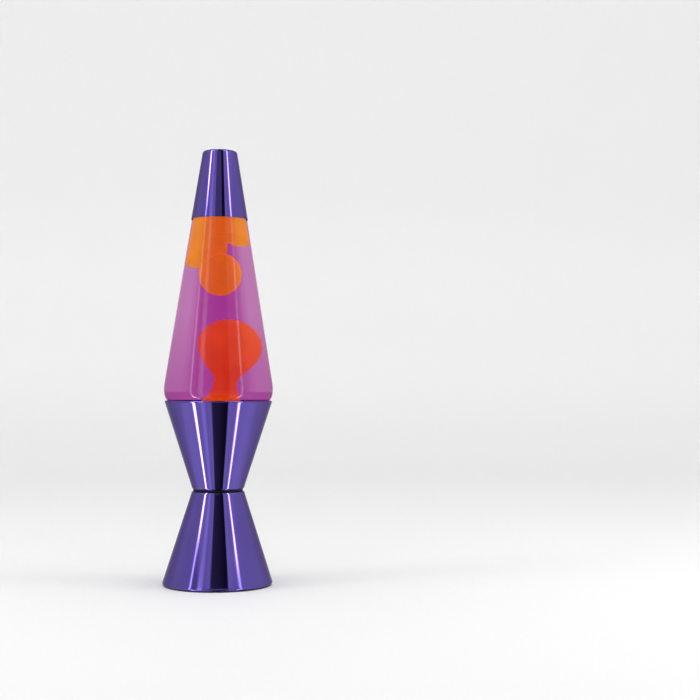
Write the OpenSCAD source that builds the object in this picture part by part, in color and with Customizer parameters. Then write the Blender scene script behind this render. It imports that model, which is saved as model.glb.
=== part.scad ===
// Lava lamp: a spun two-cone base that holds a screw-in bulb, a sealed glass globe of
// liquid and wax that lifts out of it, and a spun cap that lifts off the globe.
// Millimetres. Origin: centre of the underside on the table. +Z up.

/* [Lower cone] */
// thickness of the spun aluminium of both cones
sheet = 0.8; // [0.6:0.1:0.9]
// height of the felt ring under the metal
pad_h = 0.8; // [0.5:0.1:1.2]
// radius of the rolled bead at the foot
foot_bead = 1.8; // [1.4:0.1:2.0]
// number of vent slots in the bottom cover
vents = 12; // [6:2:16]

/* [Waist] */
// height of the black spacer ring
ring_h = 2.4; // [2:0.2:3]
// number of clamping screws round the waist
screws = 3; // [3:1:4]

/* [Globe] */
// wall of the glass globe
wall = 2.6; // [2.2:0.1:3]
// flutes round the crown cap
flutes = 21; // [15:2:27]

/* [Cap] */
// thickness of the spun aluminium of the cap
cap_sheet = 0.45; // [0.35:0.05:0.45]

/* [Bulb] */
// facets round each thread
thread_facets = 24; // [20:4:28]
// thickness of the bulb's glass
bulb_wall = 0.8; // [0.6:0.1:1]

/* [Hidden] */

purple = [0.16, 0.08, 0.42];
black = [0.05, 0.05, 0.06];
steel = [0.7, 0.7, 0.72];
brass = [0.8, 0.65, 0.3];
white = [0.93, 0.93, 0.9];
wax = [0.86, 0.3, 0.12, 0.9];
slit = 0.02;   // a hair of room between pieces that are pressed together

// Cones: outside radius and height of two points on each slant
foot_z = pad_h + foot_bead;
lower_top_z = 89;
lower_r0 = 52.39; lower_z0 = 2.6;
lower_r1 = 25.06; lower_z1 = 88.2;
upper_z = lower_top_z + ring_h;
upper_r0 = 24.65; upper_z0 = 92.2;
upper_r1 = 50.4; upper_z1 = 173.3;
rim_bead = 1.2; rim_r = 49.95; rim_z = 174.4;
function slant(r0, z0, r1, z1, z) = r0 + (r1 - r0) * (z - z0) / (z1 - z0);
function lower_r(z) = slant(lower_r0, lower_z0, lower_r1, lower_z1, z);
function upper_r(z) = slant(upper_r0, upper_z0, upper_r1, upper_z1, z);
in_off = sheet * 1.05;   // a sheet's thickness measured level across a slant
foot_r = lower_r(foot_z) - foot_bead * 1.05;

// Waist
hole_r = 17.3;        // the way through for the bulb's neck
ring_r = 23.65;
screw_pc = 20.1;      // pitch circle radius of the waist screws
screw_r = 1.25;
screw_hole = 1.4;
head_r = 2.3; head_h = 1.1;
washer_h = 0.6; washer_r = 2.5;
nut_h = 1.9; nut_r = 2.55;
shank = 11;
flange_h = 3.4;       // the holder's flange
flange_r = 22.9;
flange_z = lower_top_z - sheet - flange_h;

// Lamp holder
boss_r = 16.9;        // the round body under the flange
holder_bore = 14.1;
holder_floor = 51;
holder_base = 44;
shell_z = 57; shell_top = 76.5;
terminal_x = 9;       // distance of each terminal from the axis
terminal_hole = 1.5;
terminal_head = 2.8;
strip = 0.5;          // thickness of the spring contact

// Bulb
tip_z = 56;
base_z = 58.6;        // lower end of the bulb's threaded shell
thread_top = 77; base_top = 81;
base_in = 11.7;
pitch = 3.629;
thread_e = 0.37;      // the thread's depth is twice this
thread_r = 12.73;
thread_gap = 0.36;
globe_c = 121.2; globe_rad = 23.8;

// Globe
glass_r0 = 50.84; glass_z0 = 195.9;
glass_k = 0.1592;
function glass_r(z) = glass_r0 - (z - glass_z0) * glass_k;
seat_c1 = [24.9, 186.6]; seat_R1 = 27;
seat_c2 = [42.33, 182.12]; seat_R2 = 9;
shoulder_z = 353;

// Cap
cap_bottom = 349.3; cap_r = 27.19; cap_k = 0.1635;
total_h = 415.4;
cap_corner = 2.6;
function cap_out(z) = cap_r - (z - cap_bottom) * cap_k;

// points of an arc from angle a0 to a1, as [radius, height]
function arc(c, r, a0, a1, n) = [for (i = [0:n]) let (a = a0 + (a1 - a0) * i / n)
  [c[0] + r * cos(a), c[1] + r * sin(a)]];
function reversed(p) = [for (i = [len(p) - 1:-1:0]) p[i]];

module ring(z, h, r1, r2) {
  translate([0, 0, z]) difference() {
    cylinder(h = h, r = r2, $fn = 96);
    translate([0, 0, -1]) cylinder(h = h + 2, r = r1, $fn = 96);
  }
}
module around(n, r, a0 = 0) {
  for (i = [0:n - 1]) rotate([0, 0, a0 + i * 360 / n]) translate([r, 0, 0]) children();
}
module spun(points, facets = 128) {
  rotate_extrude($fn = facets) polygon(points);
}
module torus(R, z, r, facets = 128) {
  translate([0, 0, z]) rotate_extrude($fn = facets) translate([R, 0]) circle(r = r, $fn = 32);
}

/* ---- base ---- */
module base_pad() {
  color(black) ring(0, pad_h, foot_r - 5.5, foot_r + 1);
}

// flat cover pressed inside the foot's bead, with vent slots and a low stiffening wall
cover_r = foot_r - foot_bead - slit;
cover_h = 1.6;
cover_wall_h = 5;
vent_long = 16; vent_wide = 2.4; vent_at = 30;
module bottom_cover() {
  color(black) difference() {
    union() {
      translate([0, 0, pad_h]) cylinder(h = cover_h, r = cover_r, $fn = 96);
      ring(pad_h + cover_h, cover_wall_h, cover_r - 3.2, cover_r - 1.8);
    }
    around(vents, vent_at) translate([-vent_long / 2, -vent_wide / 2, 0])
      cube([vent_long, vent_wide, 2 * cover_h + pad_h]);
  }
  // hooks that snap over the bead
  color(black) around(4, 0, 45) rotate([90, 0, 0]) translate([0, 0, -3]) linear_extrude(height = 6)
    polygon([[cover_r - 2.5, pad_h + 3.7], [cover_r + 0.6, pad_h + 3.7],
      [cover_r - 1.2, pad_h + 6.6], [cover_r - 2.5, pad_h + 6.6]]);
}

module lower_cone() {
  color(purple) difference() {
    union() {
      spun([[lower_r(foot_z) - 0.1, foot_z], [lower_r1 + 0.3, lower_z1 - 0.8],
        [lower_r1 - 0.25, lower_z1 + 0.4], [lower_r1 - 1, lower_top_z],
        [hole_r, lower_top_z], [hole_r, lower_top_z - sheet],
        [lower_r1 - 1.1, lower_top_z - sheet],
        [lower_r(foot_z) - in_off - 0.1, foot_z]]);
      torus(foot_r, foot_z, foot_bead);
    }
    around(screws, screw_pc, 30) translate([0, 0, 80]) cylinder(h = 12, r = screw_hole, $fn = 24);
    // hole for the cord's gland, at the rear
    translate([0, grommet_y, grommet_z]) rotate([-90 + slant_deg, 0, 0])
      translate([0, 0, -8]) cylinder(h = 16, r = grommet_neck, $fn = 48);
  }
}

// rubber gland for the cord, square to the slanted wall
grommet_z = 20;
slant_deg = atan((lower_r0 - lower_r1) / (lower_z1 - lower_z0));
grommet_y = lower_r(grommet_z);
grommet_neck = 5;
grommet_bore = 3.2;
grommet_out = 3.2;    // how far it stands out of the wall
grommet_lip = 7.3;    // radius of the flange inside the wall
module cord_grommet() {
  color(black) translate([0, grommet_y, grommet_z]) rotate([-90 + slant_deg, 0, 0])
    rotate_extrude($fn = 48) polygon([[grommet_bore, -sheet - 2.6], [grommet_lip - 0.5, -sheet - 2.6],
      [grommet_lip, -sheet - 2], [grommet_lip, -sheet - 1], [grommet_neck - slit, -sheet - 1],
      [grommet_neck - slit, 0.35], [7, 0.35], [7, 1.4], [5.6, grommet_out],
      [grommet_bore, grommet_out]]);
}

module waist_ring() {
  color(black) difference() {
    ring(lower_top_z, ring_h, hole_r, ring_r);
    around(screws, screw_pc, 30) translate([0, 0, 85]) cylinder(h = 10, r = screw_hole, $fn = 24);
  }
}

module upper_cone() {
  color(purple) difference() {
    union() {
      spun([[hole_r, upper_z], [upper_r0 - 1, upper_z], [upper_r0 - 0.1, upper_z0 - 0.2],
        [upper_r(rim_z - 0.6), rim_z - 0.6], [upper_r(rim_z - 0.6) - in_off, rim_z - 0.6],
        [upper_r0 - 1, upper_z + sheet], [hole_r, upper_z + sheet]]);
      torus(rim_r, rim_z, rim_bead);
    }
    around(screws, screw_pc, 30) translate([0, 0, 85]) cylinder(h = 10, r = screw_hole, $fn = 24);
  }
}

module waist_screws() {
  color(steel) around(screws, screw_pc, 30) translate([0, 0, upper_z + sheet]) difference() {
    union() {
      cylinder(h = head_h, r = head_r, $fn = 32);
      translate([0, 0, -shank]) cylinder(h = shank, r = screw_r, $fn = 24);
    }
    translate([-3, -0.3, head_h - 0.5]) cube([6, 0.6, 1]);
  }
}
module waist_washers() {
  color(black) around(screws, screw_pc, 30)
    ring_small(flange_z - washer_h, washer_h, screw_hole, washer_r);
}
module ring_small(z, h, r1, r2) {
  translate([0, 0, z]) difference() {
    cylinder(h = h, r = r2, $fn = 32);
    translate([0, 0, -1]) cylinder(h = h + 2, r = r1, $fn = 32);
  }
}
module waist_nuts() {
  color(steel) around(screws, screw_pc, 30) translate([0, 0, flange_z - washer_h - nut_h])
    difference() {
      cylinder(h = nut_h, r = nut_r, $fn = 6);
      translate([0, 0, -1]) cylinder(h = nut_h + 2, r = screw_r + slit, $fn = 24);
    }
}

/* ---- lamp holder ---- */
module lamp_holder() {
  color(white) difference() {
    union() {
      translate([0, 0, flange_z]) cylinder(h = flange_h, r = flange_r, $fn = 96);
      translate([0, 0, holder_base]) cylinder(h = flange_z - holder_base, r = boss_r, $fn = 96);
    }
    translate([0, 0, holder_floor]) cylinder(h = 50, r = holder_bore, $fn = 96);
    translate([0, 0, flange_z - 3]) cylinder(h = 20, r1 = holder_bore, r2 = 17.2, $fn = 96);
    around(screws, screw_pc, 30) translate([0, 0, 80]) cylinder(h = 12, r = screw_hole, $fn = 24);
    around(2, terminal_x) translate([0, 0, holder_base - 1]) cylinder(h = 9, r = terminal_hole, $fn = 24);
  }
}
// A round thread: a stack of circles whose centres wind round the axis.
module thread(r, z0, z1) {
  n = ceil((z1 - z0) / pitch * 8);
  f = thread_facets;
  points = [for (k = [0:n]) let (z = z0 + (z1 - z0) * k / n, a = 360 * z / pitch)
    for (i = [0:f - 1]) [thread_e * cos(a) + r * cos(360 * i / f),
      thread_e * sin(a) + r * sin(360 * i / f), z]];
  faces = concat([[for (i = [0:f - 1]) i]], [[for (i = [f - 1:-1:0]) n * f + i]],
    [for (k = [0:n - 1]) for (i = [0:f - 1]) [k * f + i, (k + 1) * f + i, (k + 1) * f + (i + 1) % f]],
    [for (k = [0:n - 1]) for (i = [0:f - 1]) [k * f + i, (k + 1) * f + (i + 1) % f, k * f + (i + 1) % f]]);
  polyhedron(points, faces);
}
module holder_screw_shell() {
  color(brass) difference() {
    translate([0, 0, shell_z]) cylinder(h = shell_top - shell_z, r = holder_bore - slit, $fn = 96);
    thread((thread_r + thread_gap) / cos(180 / thread_facets), shell_z - 0.5, shell_top + 0.5);
  }
}
module centre_contact() {
  color(brass) {
    translate([-4, -2.5, holder_floor]) cube([12, 5, strip]);
    translate([0, 2.5, 0]) rotate([90, 0, 0]) linear_extrude(height = 5)
      polygon([[-4, holder_floor + 0.4], [-3.2, holder_floor + 0.4], [-1.6, tip_z - strip - 0.3],
        [2.4, tip_z - strip - 0.3], [2.4, tip_z - 0.3], [-2, tip_z - 0.3]]);
  }
}
module terminal_screws() {
  color(steel) around(2, terminal_x) translate([0, 0, holder_base - 1.6]) difference() {
    union() {
      cylinder(h = 1.6, r = terminal_head, $fn = 32);
      cylinder(h = 7, r = terminal_hole - slit, $fn = 24);
    }
    translate([-4, -0.4, -1]) cube([8, 0.8, 1.7]);
  }
}

/* ---- bulb ---- */
// Solder contact on the end of the bulb's base. It is round, so it rises without turning.
module bulb_tip_contact() {
  color(steel) rotate_extrude($fn = 48) polygon(concat([[0, tip_z + 2.4], [0, tip_z]],
    [[2.4, tip_z + 0.2], [3.9, tip_z + 0.9], [4.2, tip_z + 1.3], [2.2, tip_z + 1.3],
      [2.2, tip_z + 2.4]]));
}
module bulb_insulator() {
  color(black) rotate_extrude($fn = 64) polygon([[2.25, tip_z + 1.35], [5.2, tip_z + 1.35],
    [base_in - slit, base_z + 0.3], [base_in - slit, base_z + 2.5], [0, base_z + 2.5],
    [0, tip_z + 2.45],
    [2.25, tip_z + 2.45]]);
}
module bulb_screw_base() {
  color(steel) {
    difference() {
      thread(thread_r, base_z, thread_top);
      translate([0, 0, base_z - 1]) cylinder(h = 30, r = base_in, $fn = 96);
    }
    ring(thread_top, base_top - thread_top, neck_r + slit, 13.2);
  }
}
neck_r = 11.9;
bulb_out = concat([[neck_r, 78], [neck_r, 83], [12.4, 88], [13.8, 94], [16.2, 100]],
  arc([0, globe_c], globe_rad, -35, 90, 12));
module bulb_glass() {
  color([0.95, 0.95, 0.93, 0.6]) rotate_extrude($fn = 96) polygon(concat(bulb_out,
    reversed(concat([[neck_r - bulb_wall, 78], [neck_r - bulb_wall, 83], [12.4 - bulb_wall, 88],
      [13.8 - bulb_wall, 94.2], [16.2 - bulb_wall, 100.3]],
      arc([0, globe_c], globe_rad - bulb_wall, -34, 90, 12)))));
}
module bulb_stem() {
  color([0.9, 0.95, 0.95, 0.5]) rotate_extrude($fn = 48) polygon([[2, 79], [neck_r - bulb_wall - slit, 79],
    [neck_r - bulb_wall - slit, 80], [5, 84], [3, 98], [0, 99.5], [0, 96], [1.5, 92], [2, 84]]);
}
module filament_supports() {
  color(steel) for (s = [-1, 1]) rod([s * 2, 0, 99.1], [s * 9, 0, 121], 0.35);
  color(steel) for (s = [-1, 1]) rod([0, s * 1.6, 99.3], [0, s * 3.2, 121], 0.3);
}
module rod(a, b, r) {
  d = b - a; n = norm(d);
  translate(a) rotate([0, acos(d[2] / n), atan2(d[1], d[0])]) cylinder(h = n, r = r, $fn = 16);
}
module filament() {
  color(steel) rotate([0, 90, 0]) translate([-121.9, 0, -9.5]) cylinder(h = 19, r = 0.5, $fn = 24);
}

/* ---- globe ---- */
// foot, hidden taper, seat on the rim, widest line, long cone, shoulder, neck, mouth
glass_out = concat([[33.5, 154], [37.5, 154]], arc([37.9, 157.2], 3.2, -70, -20, 3),
  [[46.0, 172.2]], arc(seat_c2, seat_R2, -55, -20, 6), arc(seat_c1, seat_R1, -14.4, 9.05, 6),
  [[glass_r(shoulder_z), shoulder_z], [24.6, 358], [22.8, 363], [20.3, 369], [17.6, 376],
    [15.4, 383], [14.2, 389], [13.8, 394], [13.3, 399], [13.3, 403.6]]);
glass_in = concat([[33, 157.2], [36.9, 157.4], [38.2, 158.3], [43.2, 172.6]],
  arc(seat_c2, seat_R2 - wall, -52, -20, 5), arc(seat_c1, seat_R1 - wall, -14.4, 9.05, 5),
  [[glass_r(shoulder_z) - wall, shoulder_z - 1], [22, 357], [20.2, 362], [17.7, 368],
    [15, 375], [12.8, 382], [11.6, 388], [11.2, 394], [10.7, 399], [10.7, 403.6]]);
punt_out = [[0, 161], [12, 160.5], [24, 158.6], [31, 156]];
punt_in = [[0, 164], [12, 163.5], [24, 161.7], [30.5, 159.2]];
module globe_glass() {
  color([0.85, 0.7, 0.9, 0.35])
    spun(concat(punt_out, glass_out, reversed(glass_in), reversed(punt_in)));
}
// the globe's inside, drawn in by a gap
module inside_glass(gap) {
  spun(concat([[0, 164 + gap], [12, 163.5 + gap], [24, 161.7 + gap], [30.5, 159.2 + gap],
      [33, 157.2 + gap], [36.9 - gap, 157.4 + gap], [38.2 - gap, 158.3 + gap],
      [43.2 - gap, 172.6]],
    arc(seat_c2, seat_R2 - wall - gap, -52, -20, 5),
    arc(seat_c1, seat_R1 - wall - gap, -14.4, 9.05, 5),
    [[glass_r(shoulder_z) - wall - gap, shoulder_z - 1], [22 - gap, 357], [20.2 - gap, 362],
      [17.7 - gap, 368], [15 - gap, 375], [0, 375]]), 96);
}
module slab(z0, z1) {
  translate([0, 0, z0]) cylinder(h = z1 - z0, r = 60, $fn = 96);
}

// Wax: a pool with a column rising from it, a mass under the neck, and a ball between
pool_z = 167;
upper_wax_z = 334;
ball = [1, -5, 296.3]; ball_r = 20.5;
coil_r = 34.3; coil_z = 159.7; coil_t = 1.4;
skin = 0.05;      // room between wax, liquid and glass
column_lean = 6.7;
column_at = [4.3, 0, 173.8];
module column_shape(g) {
  translate(column_at) rotate([0, column_lean, 0]) rotate_extrude($fn = 64)
    polygon([[0, -16], [27 + g, -16], [25.5 + g, -6], [22.3 + g, -2.8], [19.6 + g, 0.4],
      [16 + g, 4.6], [13 + g, 9.5], [11.4 + g, 15], [11.1 + g, 20], [11.9 + g, 23.5],
      [14.5 + g, 27], [18.3 + g, 31], [22.6 + g, 35.5], [26.4 + g, 40.5], [29.2 + g, 46],
      [30.6 + g, 51.5], [30.6 + g, 56.5], [29.2 + g, 62], [26.6 + g, 66.8], [22.8 + g, 71.2],
      [17.8 + g, 75], [12 + g, 77.8], [6 + g, 79.4 + g], [0, 80 + g]]);
}
module upper_shape(g) {
  slab(upper_wax_z - g, 400);
  translate([-20, 3, 331]) sphere(r = 28 + g, $fn = 96);
  translate([-6, 2, 322]) sphere(r = 13.5 + g, $fn = 96);
  translate([20, 0, 344]) sphere(r = 20 + g, $fn = 96);
}
module wax_column() {
  color(wax) difference() {
    intersection() {
      inside_glass(skin);
      union() {
        slab(150, pool_z);
        column_shape(0);
      }
    }
    torus(coil_r, coil_z, coil_t + skin, 96);
  }
}
module wax_upper() {
  color(wax) difference() {
    intersection() {
      inside_glass(skin);
      upper_shape(0);
    }
    translate(ball) sphere(r = ball_r + 0.35, $fn = 96);
  }
}
module wax_ball() {
  color(wax) translate(ball) sphere(r = ball_r, $fn = 96);
}
module heat_coil() {
  color(steel) torus(coil_r, coil_z, coil_t, 96);
}
module liquid() {
  color([0.75, 0.25, 0.6, 0.35]) difference() {
    inside_glass(skin);
    slab(150, pool_z + skin);
    column_shape(skin);
    upper_shape(skin);
    translate(ball) sphere(r = ball_r + 0.3, $fn = 96);
  }
}

crown_sheet = 0.5;
module crown_cap() {
  color(steel) difference() {
    spun([[0, 406], [11.6, 406], [13.9, 404.9], [14.3, 401.6], [16.05, 398.7],
      [15.4, 398.4], [13.8, 401.3], [13.4, 404.5], [11.4, 406 - crown_sheet],
      [0, 406 - crown_sheet]]);
    around(flutes, 16.5) translate([0, 0, 398]) cylinder(h = 3.4, r = 0.8, $fn = 24);
  }
}
module crown_liner() {
  color(white) spun([[0, 403.65], [13.2, 403.65], [13.2, 404.3], [11.3, 405.45], [0, 405.45]], 96);
}

/* ---- cap ---- */
corner_z = total_h - cap_corner;
slope_len = 1 / cos(atan(cap_k));
module cap() {
  corner = [cap_out(corner_z) - cap_corner * slope_len, corner_z];
  color(purple) spun(concat([[cap_r, cap_bottom]], arc(corner, cap_corner, 9.3, 90, 6),
    [[0, total_h], [0, total_h - cap_sheet]],
    arc(corner, cap_corner - cap_sheet, 90, 9.3, 6),
    [[cap_r - cap_sheet * slope_len, cap_bottom]]));
}

base_pad();
bottom_cover();
lower_cone();
cord_grommet();
waist_ring();
upper_cone();
waist_screws();
waist_washers();
waist_nuts();
lamp_holder();
holder_screw_shell();
centre_contact();
terminal_screws();
bulb_tip_contact();
bulb_insulator();
bulb_screw_base();
bulb_glass();
bulb_stem();
filament_supports();
filament();
globe_glass();
crown_cap();
crown_liner();
liquid();
wax_column();
wax_upper();
wax_ball();
heat_coil();
cap();
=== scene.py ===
# %% [markdown]
# # A lava lamp
# Two spun metal cones stand point to point, and a tapered glass globe sits in the
# upper one. Wax rises and sinks in the globe's pink liquid, and a metal cap hides
# its neck. Almost every piece is turned round one upright axis, so the main tool is
# a profile that is spun. The frame from the CAD model gives the sizes and bodies.

# %% Load the frame
import bpy
import bmesh
import math
from mathutils import Matrix, Vector


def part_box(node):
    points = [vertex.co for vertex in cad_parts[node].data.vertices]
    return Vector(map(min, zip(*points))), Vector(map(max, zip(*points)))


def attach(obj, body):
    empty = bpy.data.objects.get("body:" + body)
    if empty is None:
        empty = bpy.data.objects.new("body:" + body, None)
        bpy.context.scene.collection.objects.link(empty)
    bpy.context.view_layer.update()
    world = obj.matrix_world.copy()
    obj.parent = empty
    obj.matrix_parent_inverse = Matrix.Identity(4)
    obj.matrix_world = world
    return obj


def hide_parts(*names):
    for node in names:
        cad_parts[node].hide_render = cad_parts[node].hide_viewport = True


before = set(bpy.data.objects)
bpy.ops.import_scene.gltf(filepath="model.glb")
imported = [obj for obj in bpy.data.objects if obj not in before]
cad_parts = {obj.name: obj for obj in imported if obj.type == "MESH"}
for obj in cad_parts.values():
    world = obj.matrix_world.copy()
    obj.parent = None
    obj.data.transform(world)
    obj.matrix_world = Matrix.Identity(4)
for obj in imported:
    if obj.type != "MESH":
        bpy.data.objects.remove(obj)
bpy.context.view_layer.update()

# %% [markdown]
# Drawings of turned parts are in millimetres, and Blender works in metres here, so
# one constant converts them. Heights that pieces share are read from the frame.

# %% Sizes shared by the pieces
MM = 0.001
glass_low, glass_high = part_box("globe_glass")
cap_low, cap_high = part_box("cap")
lamp_top = cap_high[2]
print("globe from", round(glass_low[2], 4), "to", round(glass_high[2], 4), "cap top", round(lamp_top, 4))

# %% [markdown]
# The camera stands level with the middle of the lamp, about a metre and a quarter
# in front of it, and tips up very slightly. The lamp stands left of the middle, so
# the camera is turned a little to the right rather than shifted. It also rolls by a
# small part of a degree.

# %% Camera
camera_data = bpy.data.cameras.new("camera")
camera_data.lens = 66.86
camera_data.sensor_width = 36.0
camera = bpy.data.objects.new("camera", camera_data)
bpy.context.scene.collection.objects.link(camera)
camera.location = (0.0, -1.254, 0.186)
look_right = math.radians(5.767)
look_up = math.radians(1.76)
roll = math.radians(-0.14)
camera.rotation_euler = (math.radians(90.0) + look_up, roll, -look_right)
bpy.context.scene.camera = camera
print("camera", [round(v, 3) for v in camera.location])

# %% [markdown]
# A mirror-bright lacquer shows the room more than itself. Such a lamp is lit with
# tall white panels, narrow bright gaps between them, and a black card in front. The
# world below is that room, and only reflections see it. Its brightness changes with
# the compass direction. One set of panels stands level with the lamp,
# for the globe and the cap, and the other is above and below, for the slanting cones.

# %% World: panels for reflections, white for the rest
world = bpy.data.worlds.new("studio")
bpy.context.scene.world = world
world.use_nodes = True
wn, wl = world.node_tree.nodes, world.node_tree.links
wn.clear()


def sky_math(how, first, second=None, third=None):
    node = wn.new("ShaderNodeMath")
    node.operation = how
    for socket, value in zip(node.inputs, (first, second, third)):
        if isinstance(value, (int, float)):
            socket.default_value = value
        elif value is not None:
            wl.new(value, socket)
    return node.outputs[0]


def fill_ramp(ramp, stops):
    """Give a ramp its stops, (position, colour), in order. The first stands at 0."""
    while len(ramp.elements) > 1:
        ramp.elements.remove(ramp.elements[-1])
    ramp.elements[0].position = 0.0
    for n, (position, colour) in enumerate(stops):
        stop = ramp.elements[0] if n == 0 else ramp.elements.new(position)
        stop.color = (*colour, 1.0)


room_way = wn.new("ShaderNodeTexCoord")
room_xyz = wn.new("ShaderNodeSeparateXYZ")
wl.new(room_way.outputs["Generated"], room_xyz.inputs[0])
toward = sky_math("MULTIPLY", room_xyz.outputs["Y"], -1.0)
compass = sky_math("ARCTAN2", room_xyz.outputs["X"], toward)
turn = sky_math("MULTIPLY_ADD", compass, 1.0 / (2.0 * math.pi), 0.5)
print("compass ready")

# %% Panels, as compass degrees and brightness
BRIGHTEST = 32.0    # what a ramp's 1.0 stands for


def panels(stops):
    """Brightness round the compass: 0 degrees is straight in front, positive to the right."""
    node = wn.new("ShaderNodeValToRGB")
    wl.new(turn, node.inputs["Fac"])
    fill_ramp(node.color_ramp, [((degrees + 180.0) / 360.0, (bright / BRIGHTEST,) * 3)
                                for degrees, bright in stops])
    return node.outputs["Color"]


slanting = panels([
    (-180, 0.3), (-147, 0.6), (-123, 1.2), (-100, 1.7), (-80, 2.0), (-63.5, 1.85),    # left rear
    (-62, 32.0), (-58, 32.0),                                                         # bright gap
    (-56.5, 1.7), (-44, 1.8), (-41, 2.7), (-34, 2.4), (-31, 1.5), (-19, 1.8),         # left front
    (-15, 0.2), (0, 0.15), (18, 0.05), (22.5, 0.06),                                  # black card
    (24.5, 1.9), (38, 1.6), (46, 1.8),                                                # right front
    (48.8, 24.0), (50.8, 24.0),                                                       # bright gap
    (53, 1.85), (80, 2.0), (106, 1.5), (123, 0.85), (147, 0.5), (180, 0.3)])          # right rear
level = panels([
    (-180, 0.3), (-147, 0.5), (-123, 0.9), (-106, 1.3), (-80, 1.35), (-64, 1.4),      # left rear
    (-62.5, 9.0), (-60.5, 9.0),                                                       # bright gap
    (-59, 0.9), (-46, 0.9), (-42, 4.5), (-35, 4.5), (-32, 1.2), (-24, 1.3),           # left front
    (-19, 0.9), (-6, 0.85), (10, 0.8), (14, 0.6), (23, 0.6),                          # dim middle
    (25, 1.8), (30, 1.3), (48, 1.4),                                                  # right front
    (50, 8.0), (52, 8.0),                                                             # bright gap
    (54, 1.6), (80, 1.5), (106, 1.35), (123, 1.0), (147, 0.5), (180, 0.3)])           # right rear
print("panels ready")

# %% [markdown]
# How steeply a reflected ray points, from 0 when level to 1 straight up or down, picks
# the set of panels. Rays that go steeply down meet the table, and get less light.

# %% Join the panels by height
level_until, slanting_from = 0.405, 0.43
table_until, table_from = -0.74, -0.68
table_share = 0.45
slope = sky_math("ABSOLUTE", room_xyz.outputs["Z"])
steep_share = wn.new("ShaderNodeMapRange")
steep_share.inputs["From Min"].default_value = level_until
steep_share.inputs["From Max"].default_value = slanting_from
wl.new(slope, steep_share.inputs["Value"])
both = wn.new("ShaderNodeMix")
both.data_type = "RGBA"
wl.new(steep_share.outputs[0], both.inputs["Factor"])
wl.new(level, both.inputs["A"])
wl.new(slanting, both.inputs["B"])
table_dark = wn.new("ShaderNodeMapRange")
table_dark.inputs["From Min"].default_value = table_until
table_dark.inputs["From Max"].default_value = table_from
table_dark.inputs["To Min"].default_value = table_share * BRIGHTEST
table_dark.inputs["To Max"].default_value = BRIGHTEST
wl.new(room_xyz.outputs["Z"], table_dark.inputs["Value"])
print("panels joined")

# %% Join the two skies
rays = wn.new("ShaderNodeLightPath")
sky_seen = wn.new("ShaderNodeBackground")
sky_seen.inputs["Color"].default_value = (1.0, 1.0, 1.0, 1.0)
sky_seen.inputs["Strength"].default_value = 1.03
sky_mirrored = wn.new("ShaderNodeBackground")
wl.new(both.outputs["Result"], sky_mirrored.inputs["Color"])
wl.new(table_dark.outputs[0], sky_mirrored.inputs["Strength"])
skies = wn.new("ShaderNodeMixShader")
wl.new(rays.outputs["Is Glossy Ray"], skies.inputs["Fac"])
wl.new(sky_seen.outputs[0], skies.inputs[1])
wl.new(sky_mirrored.outputs[0], skies.inputs[2])
sky_out = wn.new("ShaderNodeOutputWorld")
wl.new(skies.outputs[0], sky_out.inputs["Surface"])
bpy.context.scene.view_settings.view_transform = "Standard"
print("world ready")

# %% [markdown]
# Two tall soft boxes light the lamp from its sides. They stay out of reflections,
# because the panels above already stand in for them there.

# %% Soft boxes
def soft_box(name, place, aim, width, height, watts):
    light = bpy.data.lights.new(name, "AREA")
    light.shape = "RECTANGLE"
    light.size, light.size_y = width, height
    light.energy = watts
    lamp = bpy.data.objects.new(name, light)
    lamp.location = place
    lamp.rotation_euler = (Vector(aim) - Vector(place)).to_track_quat("-Z", "Y").to_euler()
    lamp.visible_glossy = False
    bpy.context.scene.collection.objects.link(lamp)


middle = (0.0, 0.0, 0.2)
soft_box("box_left", (-1.1, -0.35, 0.5), middle, 0.5, 1.0, 5.0)
soft_box("box_right", (1.1, -0.35, 0.5), middle, 0.5, 1.0, 5.0)
print("lights", len(bpy.data.lights))

# %% [markdown]
# The cap mirrors a place in the room just above the one that the cones mirror. A dim
# card hangs there, so the cap's dark band is a deep blue while the cones' is black.

# %% Dim card in front, seen only in reflections
def scene_piece(name, bm):
    """Turn a bmesh into an object in the scene."""
    mesh = bpy.data.meshes.new(name)
    bm.to_mesh(mesh)
    bm.free()
    piece = bpy.data.objects.new(name, mesh)
    bpy.context.scene.collection.objects.link(piece)
    return piece


card_left, card_right, card_foot, card_head, card_front = -0.36, 0.16, 0.78, 1.10, -1.0
card_bm = bmesh.new()
card_bm.faces.new([card_bm.verts.new((x, card_front, z)) for x, z in
                   ((card_left, card_foot), (card_right, card_foot),
                    (card_right, card_head), (card_left, card_head))])
card = scene_piece("dim_card", card_bm)
card_mat = bpy.data.materials.new("dim_card")
card_mat.use_nodes = True
card_shader = card_mat.node_tree.nodes["Principled BSDF"]
card_shader.inputs["Base Color"].default_value = (0.0, 0.0, 0.0, 1.0)
card_shader.inputs["Emission Color"].default_value = (1.0, 1.0, 1.0, 1.0)
card_shader.inputs["Emission Strength"].default_value = 0.6
card.data.materials.append(card_mat)
card.visible_camera = False
card.visible_diffuse = False
card.visible_transmission = False
card.visible_shadow = False
print("card ready")

# %% [markdown]
# The floor is one pale sheet that curves up behind the lamp, as in a studio. It is
# drawn as a line from front to back and extruded sideways.

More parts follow.
